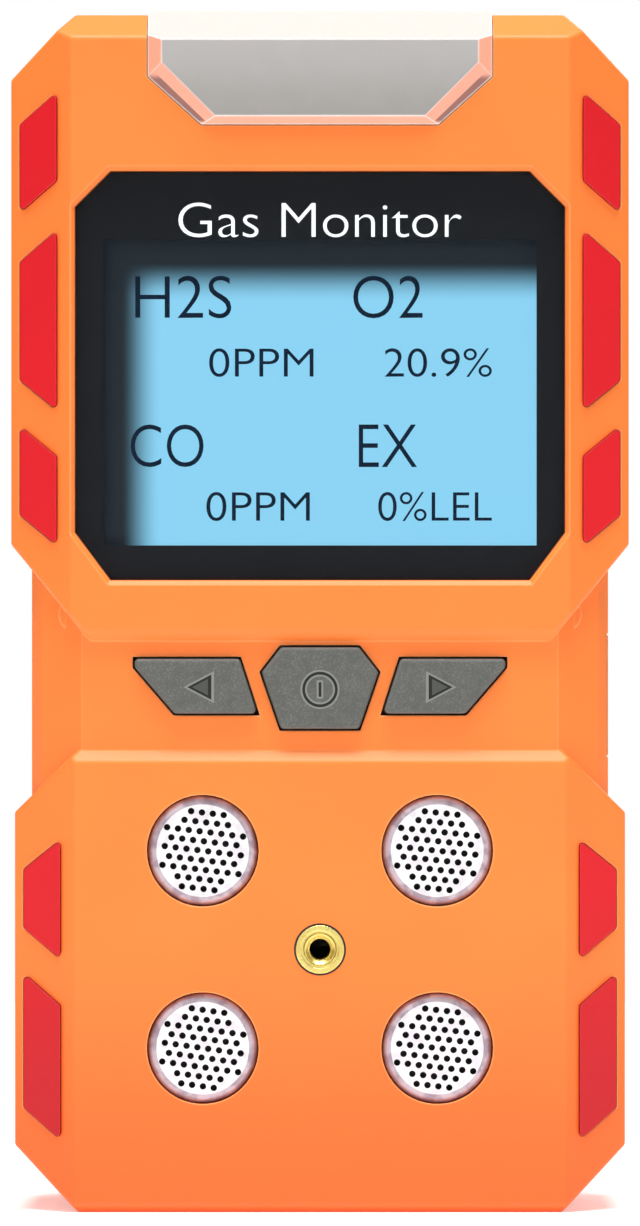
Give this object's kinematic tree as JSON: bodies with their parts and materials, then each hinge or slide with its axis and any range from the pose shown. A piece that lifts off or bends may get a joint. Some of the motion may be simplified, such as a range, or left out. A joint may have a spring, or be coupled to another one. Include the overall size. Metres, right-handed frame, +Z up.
{
  "type": "portable gas detector",
  "caption": "Pocket gas detector: armoured two-part case with display, keys, perforated gas inlets, threaded calibration socket, alarm window and sprung belt clip.",
  "frame": {"origin": "in the base face, on the plane where the two case shells meet, midway across", "axes": "+X to the right seen from the front, the front faces -Y, +Z up"},
  "size_m": [0.067, 0.0425, 0.13],
  "materials": {
    "orange_shell": "fine satin moulding",
    "red_trim": "soft satin",
    "grey_rubber": "matt, speckled",
    "orange_rubber": "matt",
    "frosted_plastic": "frosted translucent",
    "lens_glass": "clear, hard coated",
    "black_print": "printed",
    "display_glass": "smooth",
    "white_plastic": "moulded",
    "tray_steel": "bright",
    "board_green": "solder resist",
    "chip_black": "moulded",
    "red_light": "diffused lamp",
    "cap_steel": "bright rolled",
    "screw_steel": "satin",
    "clip_steel": "satin",
    "spring_steel": "drawn wire",
    "brass": "machined",
    "black_seal": "soft",
    "filter_white": "membrane",
    "sensor_plastic": "moulded",
    "gold_pins": "plated",
    "cell_foil": "foil",
    "foam": "open cell",
    "motor_can": "drawn",
    "plate_metal": "brushed",
    "ribbon_film": "film"
  },
  "bodies": {
    "case": {"alarm_lights": "red_light", "alarm_window": "frosted_plastic", "battery": "cell_foil", "battery_pads": "foam", "board_chips": "chip_black", "board_ribbon": "ribbon_film", "board_screws": "screw_steel", "calibration_socket": "brass", "case_screws": "screw_steel", "case_seal": "black_seal", "charging_socket": "tray_steel", "clip_bracket": "clip_steel", "clip_pin": "screw_steel", "clip_screws": "screw_steel", "clip_spring": "spring_steel", "display_backlight": "white_plastic", "display_glass": "display_glass", "display_lens": "lens_glass", "display_tray": "tray_steel", "dust_filters": "filter_white", "front_case": "orange_shell", "inlet_cap_1": "cap_steel", "inlet_cap_2": "cap_steel", "inlet_cap_3": "cap_steel", "inlet_cap_4": "cap_steel", "insert_left_base_bottom": "red_trim", "insert_left_base_top": "red_trim", "insert_left_head_bottom": "red_trim", "insert_left_head_middle": "red_trim", "insert_left_head_top": "red_trim", "insert_right_base_bottom": "red_trim", "insert_right_base_top": "red_trim", "insert_right_head_bottom": "red_trim", "insert_right_head_middle": "red_trim", "insert_right_head_top": "red_trim", "keypad_seal": "grey_rubber", "lens_mask": "black_print", "main_board": "board_green", "rating_plate": "plate_metal", "rear_case": "orange_shell", "sensor_board": "board_green", "sensor_carbon_monoxide": "sensor_plastic", "sensor_combustible": "sensor_plastic", "sensor_hydrogen_sulfide": "sensor_plastic", "sensor_oxygen": "sensor_plastic", "sensor_pins": "gold_pins", "sensor_seals": "foam", "sounder": "chip_black", "tact_switches": "tray_steel", "thread_inserts": "brass", "vibration_motor": "motor_can"},
    "key_left": {"button_left": "grey_rubber", "plunger_left": "chip_black"},
    "key_power": {"button_power": "grey_rubber", "plunger_power": "chip_black"},
    "key_right": {"button_right": "grey_rubber", "plunger_right": "chip_black"},
    "port_cover": {"charging_cover": "orange_rubber"},
    "jaw": {"clip_jaw": "clip_steel"},
    "motor_weight": {"vibration_weight": "screw_steel"}
  },
  "joints": [
    {"name": "key_left_press", "type": "slide", "parent": "case", "child": "key_left", "axis": [0, 1, 0], "range_m": [0, 0.0006], "stiffness_N_per_m": 2500},
    {"name": "key_power_press", "type": "slide", "parent": "case", "child": "key_power", "axis": [0, 1, 0], "range_m": [0, 0.0006], "stiffness_N_per_m": 2500},
    {"name": "key_right_press", "type": "slide", "parent": "case", "child": "key_right", "axis": [0, 1, 0], "range_m": [0, 0.0006], "stiffness_N_per_m": 2500},
    {"name": "port_cover_hinge", "type": "hinge", "parent": "case", "child": "port_cover", "pos_m": [0.03082, -0.00228, 0.05575], "axis": [0, 0, 1], "range_deg": [0, 100], "stiffness_Nm_per_rad": 0.002},
    {"name": "jaw_hinge", "type": "hinge", "parent": "case", "child": "jaw", "pos_m": [0, 0.0192, 0.0975], "axis": [1, 0, 0], "range_deg": [0, 25], "stiffness_Nm_per_rad": 0.25, "springref_deg": -20.05, "deforming": ["clip_spring"]},
    {"name": "motor_spin", "type": "hinge", "parent": "case", "child": "motor_weight", "pos_m": [-0.006, 0.0086, 0.11943], "axis": [1, 0, 0], "continuous": true}
  ]
}
